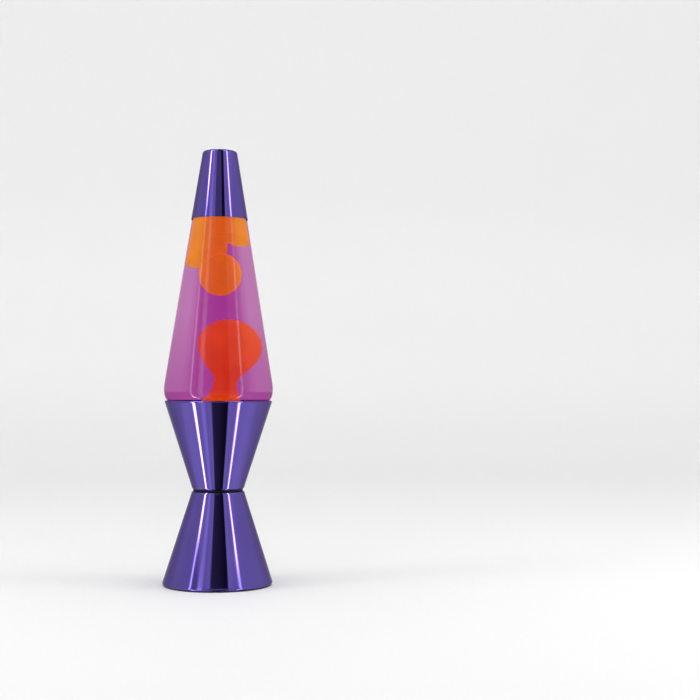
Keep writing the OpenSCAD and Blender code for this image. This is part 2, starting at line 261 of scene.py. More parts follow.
# %% Floor and backdrop
sweep = bmesh.new()
back = [(-4.0, 0.0), (1.6, 0.0), (2.2, 0.08), (2.6, 0.35), (2.8, 0.8), (2.85, 4.0)]
floor_half = 5.0
line = [sweep.verts.new((-floor_half, y, z)) for y, z in back]
edges = [sweep.edges.new(pair) for pair in zip(line, line[1:])]
moved = bmesh.ops.extrude_edge_only(sweep, edges=edges)["geom"]
bmesh.ops.translate(sweep, verts=[g for g in moved if isinstance(g, bmesh.types.BMVert)],
                    vec=(2.0 * floor_half, 0.0, 0.0))
bmesh.ops.recalc_face_normals(sweep, faces=sweep.faces)
floor = scene_piece("floor", sweep)
floor.visible_glossy = False
for face in floor.data.polygons:
    face.use_smooth = True
print("floor faces", len(floor.data.polygons))

# %% [markdown]
# Every finish starts the same way: a Principled shader with its plain values, then
# nodes for the fine detail. These helpers add a noise in Object coordinates, a range
# for it, and a bump, so that each material below stays short to read. A noise keeps
# mostly between 0.3 and 0.7, so ranges run over that stretch.

# %% Material helpers
NOISE_LOW, NOISE_HIGH = 0.3, 0.7


def finish(name, colour, metallic=0.0, rough=0.5):
    mat = bpy.data.materials.new(name)
    mat.use_nodes = True
    shader = mat.node_tree.nodes["Principled BSDF"]
    shader.inputs["Base Color"].default_value = (*colour, 1.0)
    shader.inputs["Metallic"].default_value = metallic
    shader.inputs["Roughness"].default_value = rough
    return mat, shader


def grain(mat, scale, detail=3.0, stretch=(1.0, 1.0, 1.0)):
    nodes, links = mat.node_tree.nodes, mat.node_tree.links
    place = nodes.new("ShaderNodeTexCoord")
    spread = nodes.new("ShaderNodeMapping")
    spread.inputs["Scale"].default_value = stretch
    links.new(place.outputs["Object"], spread.inputs["Vector"])
    noise = nodes.new("ShaderNodeTexNoise")
    noise.inputs["Scale"].default_value = scale
    noise.inputs["Detail"].default_value = detail
    links.new(spread.outputs[0], noise.inputs["Vector"])
    return noise.outputs["Fac"]


def span(mat, source, low, high, into):
    node = mat.node_tree.nodes.new("ShaderNodeMapRange")
    node.inputs["From Min"].default_value = NOISE_LOW
    node.inputs["From Max"].default_value = NOISE_HIGH
    node.inputs["To Min"].default_value = low
    node.inputs["To Max"].default_value = high
    mat.node_tree.links.new(source, node.inputs["Value"])
    mat.node_tree.links.new(node.outputs[0], into)


def shades(mat, source, dark, light, into):
    node = mat.node_tree.nodes.new("ShaderNodeValToRGB")
    node.color_ramp.elements[0].position = NOISE_LOW
    node.color_ramp.elements[0].color = (*dark, 1.0)
    node.color_ramp.elements[1].position = NOISE_HIGH
    node.color_ramp.elements[1].color = (*light, 1.0)
    mat.node_tree.links.new(source, node.inputs["Fac"])
    mat.node_tree.links.new(node.outputs["Color"], into)


def relief(mat, shader, source, height, under=None):
    bump = mat.node_tree.nodes.new("ShaderNodeBump")
    bump.inputs["Strength"].default_value = 1.0
    bump.inputs["Distance"].default_value = height
    mat.node_tree.links.new(source, bump.inputs["Height"])
    if under is not None:
        mat.node_tree.links.new(under.outputs[0], bump.inputs["Normal"])
    mat.node_tree.links.new(bump.outputs[0], shader.inputs["Normal"])
    return bump


pale, pale_shader = finish("pale_floor", (0.86, 0.86, 0.86), rough=0.6)
shades(pale, grain(pale, 400.0), (0.80, 0.80, 0.80), (0.82, 0.82, 0.82), pale_shader.inputs["Base Color"])
floor.data.materials.append(pale)
print("helpers ready")

# %% [markdown]
# The cones and the cap are spun aluminium under a clear violet lacquer. Spinning
# leaves faint rings, so one noise is squeezed flat into rings, and a second, softer
# one gives the slow waves of the sheet. The lacquer is the shader's coat.

# %% Violet lacquer on spun aluminium
violet, violet_shader = finish("violet_lacquer", (0.046, 0.026, 0.19), metallic=1.0, rough=0.06)
violet_shader.inputs["Specular Tint"].default_value = (0.6, 0.45, 0.9, 1.0)
violet_shader.inputs["Coat Weight"].default_value = 0.5
violet_shader.inputs["Coat Roughness"].default_value = 0.03
violet_shader.inputs["Coat IOR"].default_value = 1.5
rings = grain(violet, 900.0, 2.0, stretch=(0.02, 0.02, 1.0))
waves = grain(violet, 18.0, 1.0)
blush = grain(violet, 30.0, 4.0)
shades(violet, blush, (0.043, 0.024, 0.180), (0.049, 0.028, 0.200), violet_shader.inputs["Base Color"])
span(violet, rings, 0.045, 0.08, violet_shader.inputs["Roughness"])
wave_bump = relief(violet, violet_shader, waves, 0.00008)
relief(violet, violet_shader, rings, 0.0000015, under=wave_bump)
print("violet lacquer")

# %% [markdown]
# The dark fittings are moulded: a foam ring under the foot, satin plastic for the
# spacer and the cover, and rubber for the cord's gland. They differ in the size of
# their grain and in how much light they throw back. The plastic is painted darker than black plastic is, with
# painted shade, so that the spacer stays as dark as the shaded groove at the waist.

# %% Black foam, plastic and rubber
foam, foam_shader = finish("black_foam", (0.02, 0.02, 0.022), rough=0.95)
cells = grain(foam, 1400.0, 2.0)
shades(foam, cells, (0.012, 0.012, 0.014), (0.035, 0.035, 0.038), foam_shader.inputs["Base Color"])
relief(foam, foam_shader, cells, 0.0002)

# Near-black base: black plastic darkened further with painted groove shade, for the waist spacer.
plastic, plastic_shader = finish("black_plastic", (0.004, 0.004, 0.005), rough=0.45)
plastic_shader.inputs["Specular IOR Level"].default_value = 0.06
spark = grain(plastic, 2200.0, 2.0)
shades(plastic, grain(plastic, 60.0), (0.002, 0.002, 0.003), (0.005, 0.005, 0.006),
       plastic_shader.inputs["Base Color"])
span(plastic, spark, 0.4, 0.5, plastic_shader.inputs["Roughness"])
relief(plastic, plastic_shader, spark, 0.00003)

rubber, rubber_shader = finish("black_rubber", (0.02, 0.02, 0.02), rough=0.7)
dust = grain(rubber, 700.0, 4.0)
shades(rubber, dust, (0.014, 0.014, 0.014), (0.03, 0.03, 0.03), rubber_shader.inputs["Base Color"])
span(rubber, dust, 0.6, 0.8, rubber_shader.inputs["Roughness"])
relief(rubber, rubber_shader, dust, 0.00004)
print("dark finishes")

# %% [markdown]
# Inside the lamp are plain working metals and a glazed porcelain holder. Plated
# steel, brass, tin solder and rolled aluminium share one recipe with their own
# colours: streaks in the roughness and a very small bump.

# %% Working metals
def metal(name, dark, light, rough):
    mat, shader = finish(name, light, metallic=1.0, rough=rough)
    streaks = grain(mat, 500.0, 3.0, stretch=(1.0, 1.0, 0.3))
    shades(mat, grain(mat, 90.0, 4.0), dark, light, shader.inputs["Base Color"])
    span(mat, streaks, rough * 0.75, rough * 1.3, shader.inputs["Roughness"])
    relief(mat, shader, streaks, 0.00001)
    return mat


steel = metal("plated_steel", (0.52, 0.52, 0.54), (0.66, 0.66, 0.67), 0.28)
brass = metal("brass", (0.60, 0.42, 0.16), (0.78, 0.58, 0.26), 0.25)
solder = metal("solder", (0.42, 0.42, 0.44), (0.60, 0.60, 0.62), 0.4)
rolled = metal("rolled_aluminium", (0.68, 0.68, 0.69), (0.80, 0.80, 0.81), 0.3)
tin = metal("tinplate", (0.66, 0.65, 0.62), (0.82, 0.81, 0.78), 0.16)

# %% Porcelain and white liner
porcelain, porcelain_shader = finish("porcelain", (0.86, 0.85, 0.81), rough=0.14)
pores = grain(porcelain, 300.0, 4.0)
shades(porcelain, pores, (0.82, 0.80, 0.75), (0.88, 0.87, 0.84), porcelain_shader.inputs["Base Color"])
span(porcelain, pores, 0.1, 0.22, porcelain_shader.inputs["Roughness"])
relief(porcelain, porcelain_shader, grain(porcelain, 70.0, 2.0), 0.0001)

liner, liner_shader = finish("white_liner", (0.8, 0.8, 0.78), rough=0.5)
shades(liner, grain(liner, 400.0), (0.76, 0.76, 0.73), (0.84, 0.84, 0.82), liner_shader.inputs["Base Color"])
print("porcelain and liner")

# %% [markdown]
# Glass and liquid let light straight through here, and tint it, rather than bending
# it: light then still reaches the wax, and the wax keeps the shape it seems to have.
# In a full globe the pink seems to reach the very edge of the glass, so the glass's
# outer face carries the tint. It is deepest square on, where the way through the
# liquid is longest, deeper again toward the foot, and gone above the liquid's level.
# The mirror's share rises steeply towards the edges, as it does on real glass.

# %% Clear glass
def pane(name, tints, least, most, rough=0.02, bands=()):
    """Tints are (how far the surface turns away, colour) from square on, 0, to edge on, 1.
    Bands are (height where another colour starts, where it is full, its share, the colour)."""
    mat = bpy.data.materials.new(name)
    mat.use_nodes = True
    nodes, links = mat.node_tree.nodes, mat.node_tree.links
    nodes.clear()
    away = nodes.new("ShaderNodeLayerWeight")
    away.inputs["Blend"].default_value = 0.5
    tint = nodes.new("ShaderNodeValToRGB")
    links.new(away.outputs["Facing"], tint.inputs["Fac"])
    fill_ramp(tint.color_ramp, tints)
    colour = tint.outputs["Color"]
    place = nodes.new("ShaderNodeTexCoord")
    height = nodes.new("ShaderNodeSeparateXYZ")
    links.new(place.outputs["Object"], height.inputs[0])
    for start, full, most_share, other in bands:
        share = nodes.new("ShaderNodeMapRange")
        share.inputs["From Min"].default_value = start
        share.inputs["From Max"].default_value = full
        share.inputs["To Max"].default_value = most_share
        links.new(height.outputs["Z"], share.inputs["Value"])
        change = nodes.new("ShaderNodeMix")
        change.data_type = "RGBA"
        change.inputs["B"].default_value = (*other, 1.0)
        links.new(share.outputs[0], change.inputs["Factor"])
        links.new(colour, change.inputs["A"])
        colour = change.outputs["Result"]
    clear = nodes.new("ShaderNodeBsdfTransparent")
    links.new(colour, clear.inputs["Color"])
    shine = nodes.new("ShaderNodeBsdfGlossy")
    shine.inputs["Roughness"].default_value = rough
    smear = grain(mat, 60.0, 2.0, stretch=(1.0, 1.0, 0.25))
    span(mat, smear, rough * 0.6, rough * 1.6, shine.inputs["Roughness"])
    steep = nodes.new("ShaderNodeMath")
    steep.operation = "POWER"
    steep.inputs[1].default_value = 5.0
    links.new(away.outputs["Facing"], steep.inputs[0])
    mirror = nodes.new("ShaderNodeMath")
    mirror.operation = "MULTIPLY_ADD"
    mirror.inputs[1].default_value = most - least
    mirror.inputs[2].default_value = least
    links.new(steep.outputs[0], mirror.inputs[0])
    mix = nodes.new("ShaderNodeMixShader")
    links.new(mirror.outputs[0], mix.inputs["Fac"])
    links.new(clear.outputs[0], mix.inputs[1])
    links.new(shine.outputs[0], mix.inputs[2])
    out = nodes.new("ShaderNodeOutputMaterial")
    links.new(mix.outputs[0], out.inputs["Surface"])
    return mat


deep_pink = (0.650, 0.235, 0.585)
above_level = (0.97, 0.985, 0.98)
globe_clear = pane("globe_glass_tinted",
                   [(0.0, (0.631, 0.165, 0.557)), (0.10, (0.655, 0.22, 0.58)), (0.20, (0.73, 0.39, 0.67)),
                    (0.30, (0.762, 0.463, 0.712)), (0.58, (0.775, 0.47, 0.715)),
                    (0.72, (0.81, 0.49, 0.74)), (0.98, (0.90, 0.62, 0.84))],
                   least=0.02, most=0.45,
                   bands=[(0.3765, 0.3775, 1.0, above_level), (0.260, 0.186, 0.45, deep_pink),
                          (0.1842, 0.1832, 1.0, deep_pink)])
globe_inside = pane("globe_glass_inside", [(0.0, (0.995, 0.99, 0.995)), (0.98, (0.98, 0.96, 0.98))],
                    least=0.002, most=0.01)
bulb_clear = pane("bulb_inner_glass", [(0.0, (0.96, 0.98, 0.97)), (0.98, (0.85, 0.9, 0.88))],
                  least=0.04, most=1.0)
pink = pane("pink_liquid", [(0.0, (0.99, 0.975, 0.99)), (0.98, (0.99, 0.975, 0.99))],
            least=0.002, most=0.01)
print("clear glass, pink liquid")

# %% [markdown]
# The bulb is frosted inside, so its glass is white and lets a soft light through.
# Its base ends in black insulating glass.

# %% Frosted and black glass
frost, frost_shader = finish("frosted_glass", (0.88, 0.88, 0.86), rough=0.35)
fog = grain(frost, 500.0, 4.0)
shades(frost, fog, (0.84, 0.84, 0.82), (0.92, 0.92, 0.90), frost_shader.inputs["Base Color"])
span(frost, fog, 0.28, 0.42, frost_shader.inputs["Roughness"])
frost_shader.inputs["Coat Weight"].default_value = 0.6
frost_shader.inputs["Coat Roughness"].default_value = 0.04

vitrite, vitrite_shader = finish("black_glass", (0.012, 0.012, 0.016), rough=0.12)
shades(vitrite, grain(vitrite, 300.0), (0.008, 0.008, 0.012), (0.02, 0.02, 0.026),
       vitrite_shader.inputs["Base Color"])
span(vitrite, grain(vitrite, 600.0), 0.08, 0.2, vitrite_shader.inputs["Roughness"])
print("bulb glass")

# %% [markdown]
# The wax is painted with a glow: an emission under a soft waxy surface that stands in
# for the bulb's light coming through it. This painted glow is orange at the very bottom,
# right over the bulb, red in the thick column and more orange near the top, so it follows height in Object
# coordinates.

# %% Wax with a painted glow
wax, wax_shader = finish("glowing_wax", (0.5, 0.2, 0.0), rough=0.4)
wax_shader.inputs["Specular IOR Level"].default_value = 0.1
wax_nodes, wax_links = wax.node_tree.nodes, wax.node_tree.links
wax_place = wax_nodes.new("ShaderNodeTexCoord")
wax_height = wax_nodes.new("ShaderNodeSeparateXYZ")
wax_links.new(wax_place.outputs["Object"], wax_height.inputs[0])
glow_low, glow_high = 0.150, 0.390
glow_share_by_height = wax_nodes.new("ShaderNodeMapRange")
glow_share_by_height.inputs["From Min"].default_value = glow_low
glow_share_by_height.inputs["From Max"].default_value = glow_high
wax_links.new(wax_height.outputs["Z"], glow_share_by_height.inputs["Value"])
glow = wax_nodes.new("ShaderNodeValToRGB")
# Painted glow colours by height: the bulb's light through the wax, not the wax's own colour.
glows = [(0.150, (0.70, 0.20, 0.0)), (0.176, (0.66, 0.16, 0.0)), (0.186, (0.57, 0.045, 0.0)),
         (0.256, (0.58, 0.09, 0.0)), (0.272, (0.60, 0.37, 0.0)), (0.385, (0.60, 0.42, 0.0))]
fill_ramp(glow.color_ramp, [((height - glow_low) / (glow_high - glow_low), colour) for height, colour in glows])
wax_links.new(glow_share_by_height.outputs[0], glow.inputs["Fac"])
wax_links.new(glow.outputs["Color"], wax_shader.inputs["Emission Color"])
wax_shader.inputs["Emission Strength"].default_value = 1.0
swirl = grain(wax, 55.0, 3.0)
shades(wax, swirl, (0.44, 0.16, 0.0), (0.56, 0.24, 0.0), wax_shader.inputs["Base Color"])
span(wax, swirl, 0.3, 0.5, wax_shader.inputs["Roughness"])
relief(wax, wax_shader, swirl, 0.0003)
print("wax")

# %% [markdown]
# A turned piece is its outline spun round the upright axis. The outline is a loop of
# points, radius and height, and the spin operator sweeps it. Points on the axis end
# as one pole, which merging closes. Corners that need an edge radius are bevelled. A
# long straight side gets an extra ring near each end, because smooth shading would
# otherwise bend its reflections all the way along.

# %% Turning tools
def bow(centre, radius, start, end, steps):
    return [(centre[0] + radius * math.cos(math.radians(start + (end - start) * i / steps)),
             centre[1] + radius * math.sin(math.radians(start + (end - start) * i / steps)))
            for i in range(steps + 1)]


def flow(points, pieces=6):
    """A smooth line through the points, with this many pieces from each to the next."""
    out = []
    for i in range(len(points) - 1):
        p = [Vector(points[max(0, min(len(points) - 1, i + k))]) for k in (-1, 0, 1, 2)]
        for j in range(pieces):
            t = j / pieces
            out.append(tuple(0.5 * (2 * p[1] + (p[2] - p[0]) * t
                                    + (2 * p[0] - 5 * p[1] + 4 * p[2] - p[3]) * t * t
                                    + (3 * p[1] - p[0] - 3 * p[2] + p[3]) * t ** 3)))
    return out + [tuple(points[-1])]


def between(a, b):
    """Two points near the ends of a long straight side, which keep its shading straight."""
    return [tuple(p + (q - p) * t for p, q in zip(a, b)) for t in (0.01, 0.99)]


def spin_into(bm, outline, turns=128):
    """Spin a closed loop of points. A side that would lie on the axis is left out."""
    ring = [bm.verts.new((r * MM, 0.0, z * MM)) for r, z in outline]
    sides = [bm.edges.new(pair) for pair in zip(ring, ring[1:] + ring[:1])
             if max(v.co.x for v in pair) > 1e-6]
    bmesh.ops.spin(bm, geom=ring + sides, cent=(0, 0, 0), axis=(0, 0, 1),
                   angle=2.0 * math.pi, steps=turns, use_merge=True)
    bmesh.ops.remove_doubles(bm, verts=bm.verts, dist=1e-6)


def spin_shell(bm, outer, inner, turns):
    """Spin an outer line that starts on the axis and an inner one, joined at their far ends."""
    spin_into(bm, outer + list(reversed(inner)), turns)


def make(name, bm, mat, body, *stands_for, sharp=35.0):
    """Finish a piece, hand it to its body, and hide the CAD nodes that it stands for."""
    bmesh.ops.recalc_face_normals(bm, faces=bm.faces)
    piece = scene_piece(name, bm)
    piece.data.materials.append(mat)
    for face in piece.data.polygons:
        face.use_smooth = True
    piece.data.set_sharp_from_angle(angle=math.radians(sharp))
    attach(piece, body)
    if stands_for:
        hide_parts(*stands_for)
    print(name, len(piece.data.polygons), "faces on", body)
    return piece


def turned(name, outline, mat, body, *stands_for, turns=128, sharp=35.0):
    bm = bmesh.new()
    spin_into(bm, outline, turns)
    return make(name, bm, mat, body, *stands_for, sharp=sharp)


def soften(bm, corners, width, segments=3):
    """Round the rings at these corners, given as (radius, height)."""
    marks = [(r * MM, z * MM) for r, z in corners]

    def on(v):
        return any(abs(v.co.xy.length - r) < 2e-5 and abs(v.co.z - z) < 2e-5 for r, z in marks)
    rims = [e for e in bm.edges if on(e.verts[0]) and on(e.verts[1])
            and abs(e.verts[0].co.z - e.verts[1].co.z) < 1e-6
            and abs(e.verts[0].co.xy.length - e.verts[1].co.xy.length) < 1e-6]
    bmesh.ops.bevel(bm, geom=rims, offset=width * MM, segments=segments, profile=0.5,
                    affect="EDGES", material=-1)
    return len(rims)


print("turning tools")

# %% [markdown]
# The foot rests on a thin ring of foam. Only its dark edge shows under the metal, so
# it is a flat ring with rounded edges.

# %% Foam ring
pad_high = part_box("base_pad")[1]
pad_out, pad_top, pad_width = pad_high[0] / MM, pad_high[2] / MM, 6.5
pad = bmesh.new()
pad_corners = [(pad_out - pad_width, 0.0), (pad_out, 0.0), (pad_out, pad_top), (pad_out - pad_width, pad_top)]
spin_into(pad, pad_corners)
print("rims", soften(pad, pad_corners[1:3], 0.2))
make("foam_ring", pad, foam, "base", "base_pad")

# %% [markdown]
# The lower cone is one sheet. Its foot is rolled inward into a bead, which stiffens
# the thin metal and gives it a smooth edge. The outline goes round the bead, up the
# inside, across the flange at the waist and back down the outside.

# %% Lower cone
bead_centre, bead_radius = (50.5, 2.6), 1.8
foot_bead = bow(bead_centre, bead_radius, 17.7, -286.0, 26)
waist_inside, waist_outside = (23.96, 88.2), (25.1, 88.05)
lower_outline = (foot_bead + between(foot_bead[-1], waist_inside)
                 + [waist_inside, (17.3, 88.2), (17.3, 89.0), (24.1, 89.0), (24.75, 88.75), waist_outside]
                 + between(waist_outside, foot_bead[0]))
lower = bmesh.new()
spin_into(lower, lower_outline, 160)
lower_cone = make("foot_cone", lower, violet, "base", "lower_cone")

# %% [markdown]
# A cord would leave through a gland at the rear. Its hole is cut with a Boolean, and
# the rubber gland is turned about its own leaning axis: it is spun upright, then one
# matrix leans it and moves it to the wall.

# %% Gland and its hole
wall_foot_r, wall_waist_r, wall_rise = 52.39, 25.06, 85.6
lean = math.atan((wall_foot_r - wall_waist_r) / wall_rise)
gland_out, gland_up = 46.835, 20.0
hole_r, punch_length = 5.0, 16.0
gland_place = (Matrix.Translation((0.0, gland_out * MM, gland_up * MM))
               @ Matrix.Rotation(-math.pi / 2.0 + lean, 4, "X"))
punch = bmesh.new()
bmesh.ops.create_cone(punch, cap_ends=True, segments=48, radius1=hole_r * MM, radius2=hole_r * MM,
                      depth=punch_length * MM, matrix=gland_place)
punch_piece = scene_piece("punch", punch)


def settle(piece):
    """Apply a piece's modifiers to its mesh."""
    ready = piece.evaluated_get(bpy.context.evaluated_depsgraph_get())
    new = bpy.data.meshes.new_from_object(ready)
    old = piece.data
    piece.modifiers.clear()
    piece.data = new
    bpy.data.meshes.remove(old)
    return new


cut = lower_cone.modifiers.new("hole", "BOOLEAN")
cut.operation = "DIFFERENCE"
cut.solver = "EXACT"
cut.object = punch_piece
settle(lower_cone)
bpy.data.objects.remove(punch_piece)
lower_cone.data.set_sharp_from_angle(angle=math.radians(35.0))
print("cone with its hole", len(lower_cone.data.polygons))

gland = bmesh.new()
spin_into(gland, [(3.2, -3.4), (6.8, -3.4), (7.3, -2.8), (7.3, -1.8), (4.98, -1.8), (4.98, 0.35),
                  (7.0, 0.35), (7.0, 1.4), (5.6, 3.2), (3.2, 3.2)], 64)
soften(gland, [(7.0, 1.4), (5.6, 3.2), (3.2, 3.2), (7.0, 0.35)], 0.25)
bmesh.ops.transform(gland, matrix=gland_place, verts=gland.verts)
make("cord_gland", gland, rubber, "base", "cord_grommet")

# %% [markdown]
# The spacer ring is the dark groove at the waist, its black plastic darkened further with painted shade. The
# cup above it is the same kind of sheet as the foot, with its rim rolled outward for the globe to rest on.
# Lacquer is sprayed on from outside, so the faces that point inward stay bare aluminium.

# %% Waist spacer and upper cone
turned("waist_spacer",
       [(17.3, 89.02), (23.4, 89.02), (23.65, 89.25), (23.65, 91.15), (23.4, 91.38), (17.3, 91.38)],
       plastic, "base", "waist_ring")
rim_centre, rim_radius = (49.95, 174.4), 1.2
rim_bead = bow(rim_centre, rim_radius, -17.6, 250.0, 20)
cup_foot_out, cup_foot_in = (24.68, 92.15), (23.95, 92.9)
cup_outline = ([(17.3, 91.4), (23.5, 91.4), (24.2, 91.55), cup_foot_out]
               + between(cup_foot_out, rim_bead[0]) + rim_bead + between(rim_bead[-1], cup_foot_in)
               + [cup_foot_in, (23.3, 92.2), (17.3, 92.2)])
bare_within = 48.6    # the rolled rim outside this is lacquered all round
cup = turned("cup_cone", cup_outline, violet, "base", "upper_cone", turns=160)
cup.data.materials.append(rolled)
for face in cup.data.polygons:
    inside = face.normal.xy.dot(face.center.xy) < -1e-5 and face.center.xy.length < bare_within * MM
    face.material_index = 1 if inside else 0
print("bare faces", sum(face.material_index for face in cup.data.polygons))

# %% [markdown]
# The cap is the thinnest sheet. Its flat top turns over a small round edge, and its
# lower edge is left plain, with just the burr taken off.

# %% Cap
cap_top = lamp_top / MM
cap_out, cap_bottom = cap_high[0] / MM, cap_low[2] / MM
cap_slope, cap_wall = 0.1635, 0.45
cap_lean = 9.3          # degrees, the slope as an angle
across_wall = 1.0133    # a level cut through the leaning wall is this much longer
chamfer = 0.15
corner_round = 2.6
corner_out = cap_out - (cap_top - corner_round - cap_bottom) * cap_slope
corner = (corner_out - corner_round * across_wall, cap_top - corner_round)
cap_edge = (cap_out - chamfer / 6.0, cap_bottom + chamfer)
cap_shoulder = bow(corner, corner_round, cap_lean, 90.0, 10)
cap_outline = ([(cap_out - chamfer, cap_bottom), cap_edge] + between(cap_edge, cap_shoulder[0])
               + cap_shoulder + [(0.0, cap_top), (0.0, cap_top - cap_wall)]
               + bow(corner, corner_round - cap_wall, 90.0, cap_lean, 8)
               + [(cap_out - cap_wall * across_wall, cap_bottom)])
cap_bm = bmesh.new()
spin_into(cap_bm, cap_outline, 160)
make("spun_cap", cap_bm, violet, "cap", "cap")

# %% [markdown]
# The globe is blown glass. Its foot and its punt hide in the cup, then the wall turns
# out to its widest line just above the rim and runs in one long cone to the neck. The
# outline goes up the outside and down the inside. Along its sides the wall is drawn
# thinner than it is, because in a full globe the liquid seems to reach the edge.

# %% Globe glass
WALL, FULL_WALL = 0.8, 2.6    # along the sides and at the mouth
WIDEST_R, WIDEST_Z, TAPER = 50.84, 195.9, 0.1592
NECK_FROM, NECK_THICKENS = 353.0, 20.0
upper_bend, lower_bend = (24.9, 186.6), (42.33, 182.12)    # centres of the two bends


def globe_radius(z):
    return WIDEST_R - (z - WIDEST_Z) * TAPER


def bends(wall, gap, start, steps):
    """The two bends from the foot out to the widest line, inside the outer face."""
    return (bow(lower_bend, 9.0 - wall - gap, start, -20, steps)
            + bow(upper_bend, 27.0 - wall - gap, -14.4, 9.05, steps))


punt_under = flow([(0.0, 161.0), (12.0, 160.5), (24.0, 158.6), (31.0, 156.0)])
foot_out = [(33.5, 154.0), (37.5, 154.0)] + bow((37.9, 157.2), 3.2, -70, -20, 4)
body_out = [(46.0, 172.2)] + bends(0, 0, -55, 12)
wall_line = [(globe_radius(z), z) for z in (194.0, 350.0)]
neck_out = flow([(globe_radius(NECK_FROM), NECK_FROM), (24.6, 358), (22.8, 363), (20.3, 369), (17.6, 376),
                 (15.4, 383), (14.2, 389), (13.8, 394), (13.3, 399), (13.3, 403.6)], 4)
neck_in = [(r - WALL - (FULL_WALL - WALL) * min(1.0, (z - NECK_FROM) / NECK_THICKENS), z)
           for r, z in neck_out]
body_in = [(43.2, 172.6)] + bends(WALL, 0, -52, 10)
foot_in = [(33, 157.2), (36.9, 157.4), (38.2, 158.3)]
punt_over = flow([(0.0, 164.0), (12.0, 163.5), (24.0, 161.7), (30.5, 159.2)])

globe = bmesh.new()
spin_shell(globe, punt_under + foot_out + body_out + wall_line + neck_out,
           punt_over + foot_in + body_in + neck_in, 128)
globe_piece = make("globe_shell", globe, globe_clear, "globe", "globe_glass", sharp=60.0)
globe_piece.data.materials.append(globe_inside)
punt_below = 0.17    # an upward face lower than this is the inside of the punt
for face in globe_piece.data.polygons:
    inward = face.normal.xy.dot(face.center.xy) < 0.0 or (face.normal.z > 0.5 and face.center.z < punt_below)
    face.material_index = 1 if inward else 0
print("inner faces", sum(face.material_index for face in globe_piece.data.polygons))

# %% [markdown]
# The liquid fills the globe up to its neck, a hair inside the glass. It is modelled
# as the filled shape without hollows for the wax: light passes straight through it,
# so the wax inside simply shows.

# %% Liquid
LEVEL = 376.0


def inside_line(gap, top):
    """The globe's inside, drawn in by a gap and closed by a level top."""
    line = ([(r, z + gap) for r, z in punt_over] + [(r - gap, z + gap) for r, z in foot_in]
            + [(43.2 - gap, 172.6)] + bends(WALL, gap, -52, 10)
            + [(r - gap, z) for r, z in neck_in if z < top])
    return line + [(line[-1][0] - 0.3, top), (0.0, top)]


fluid = bmesh.new()
spin_shell(fluid, inside_line(0.06, LEVEL), [], 128)
make("pink_fluid", fluid, pink, "globe", "liquid", sharp=60.0)

# %% [markdown]
# Wax is soft, so its parts run into each other without creases. Each mass is built
# of simple solids, remeshed into one skin and smoothed, which rounds every join. A
# Boolean then trims it to the inside of the glass.

# %% Wax tools
def trim_shape(gap, top):
    """The space inside the glass, as a shape to cut with."""
    bm = bmesh.new()
    spin_shell(bm, inside_line(gap, top), [], 96)
    bmesh.ops.recalc_face_normals(bm, faces=bm.faces)
    return scene_piece("inside", bm)


def ball_at(bm, centre, radius, fine=5):
    bmesh.ops.create_icosphere(bm, subdivisions=fine, radius=radius * MM,
                               matrix=Matrix.Translation([c * MM for c in centre]))


def drum(bm, radius, low, high):
    bmesh.ops.create_cone(bm, cap_ends=True, segments=96, radius1=radius * MM, radius2=radius * MM,
                          depth=(high - low) * MM, matrix=Matrix.Translation((0, 0, (low + high) / 2 * MM)))


def melt(piece, cell, passes, keep=(), lose=()):
    """One smooth skin over a piece's solids, cut to some shapes and away from others."""
    skin = piece.modifiers.new("skin", "REMESH")
    skin.mode = "VOXEL"
    skin.voxel_size = cell * MM
    skin.use_smooth_shade = True
    slack = piece.modifiers.new("slack", "SMOOTH")
    slack.factor = 0.5
    slack.iterations = passes
    for how, shapes in (("INTERSECT", keep), ("DIFFERENCE", lose)):
        for shape in shapes:
            trim = piece.modifiers.new("trim", "BOOLEAN")
            trim.operation = how
            trim.solver = "EXACT"
            trim.object = shape
    mesh = settle(piece)
    for shape in (*keep, *lose):
        shape.hide_render = True
    for face in mesh.polygons:
        face.use_smooth = True
    mesh.set_sharp_from_angle(angle=math.radians(50.0))
    print(piece.name, "melted to", len(mesh.polygons), "faces")


print("wax tools")

# %% [markdown]
# The column rises from a pool at the bottom. It is a round profile, thin at its neck
# and wide at its head, that leans a little to one side.

# %% Wax column
column = bmesh.new()
column_line = flow([
    (0, -16), (30, -15), (27.5, -9), (23.8, -4), (20.4, -0.5), (16.6, 3.6), (13.4, 9),
    (11.5, 15), (11.1, 20), (12.0, 23.8), (14.7, 27.4), (18.5, 31.2), (22.8, 35.7), (26.6, 40.7),
    (29.3, 46), (30.7, 51.5), (30.8, 56.8), (29.5, 62), (26.9, 66.8), (23.0, 71.3), (18.0, 75),
    (12.2, 77.9), (6, 79.6), (0, 80.2)], 3)
spin_into(column, column_line, 96)
column_place = (Matrix.Translation((4.3 * MM, 0, 173.8 * MM))
                @ Matrix.Rotation(math.radians(6.7), 4, "Y"))
bmesh.ops.transform(column, verts=column.verts, matrix=column_place)
drum(column, 44.0, 150.0, 166.5)
column_piece = make("wax_column_soft", column, wax, "globe", "wax_column")
WAX_GAP, SKIN_CELL, SKIN_PASSES = 0.35, 1.1, 4
inside_low = trim_shape(WAX_GAP, 340.0)
melt(column_piece, SKIN_CELL, SKIN_PASSES, keep=[inside_low])
bpy.data.objects.remove(inside_low)

# %% [markdown]
# The mass under the neck hangs down in two lobes, a long one on the left and a short
# one on the right. The separate ball has just left it, so a hollow for the ball is
# cut from it.

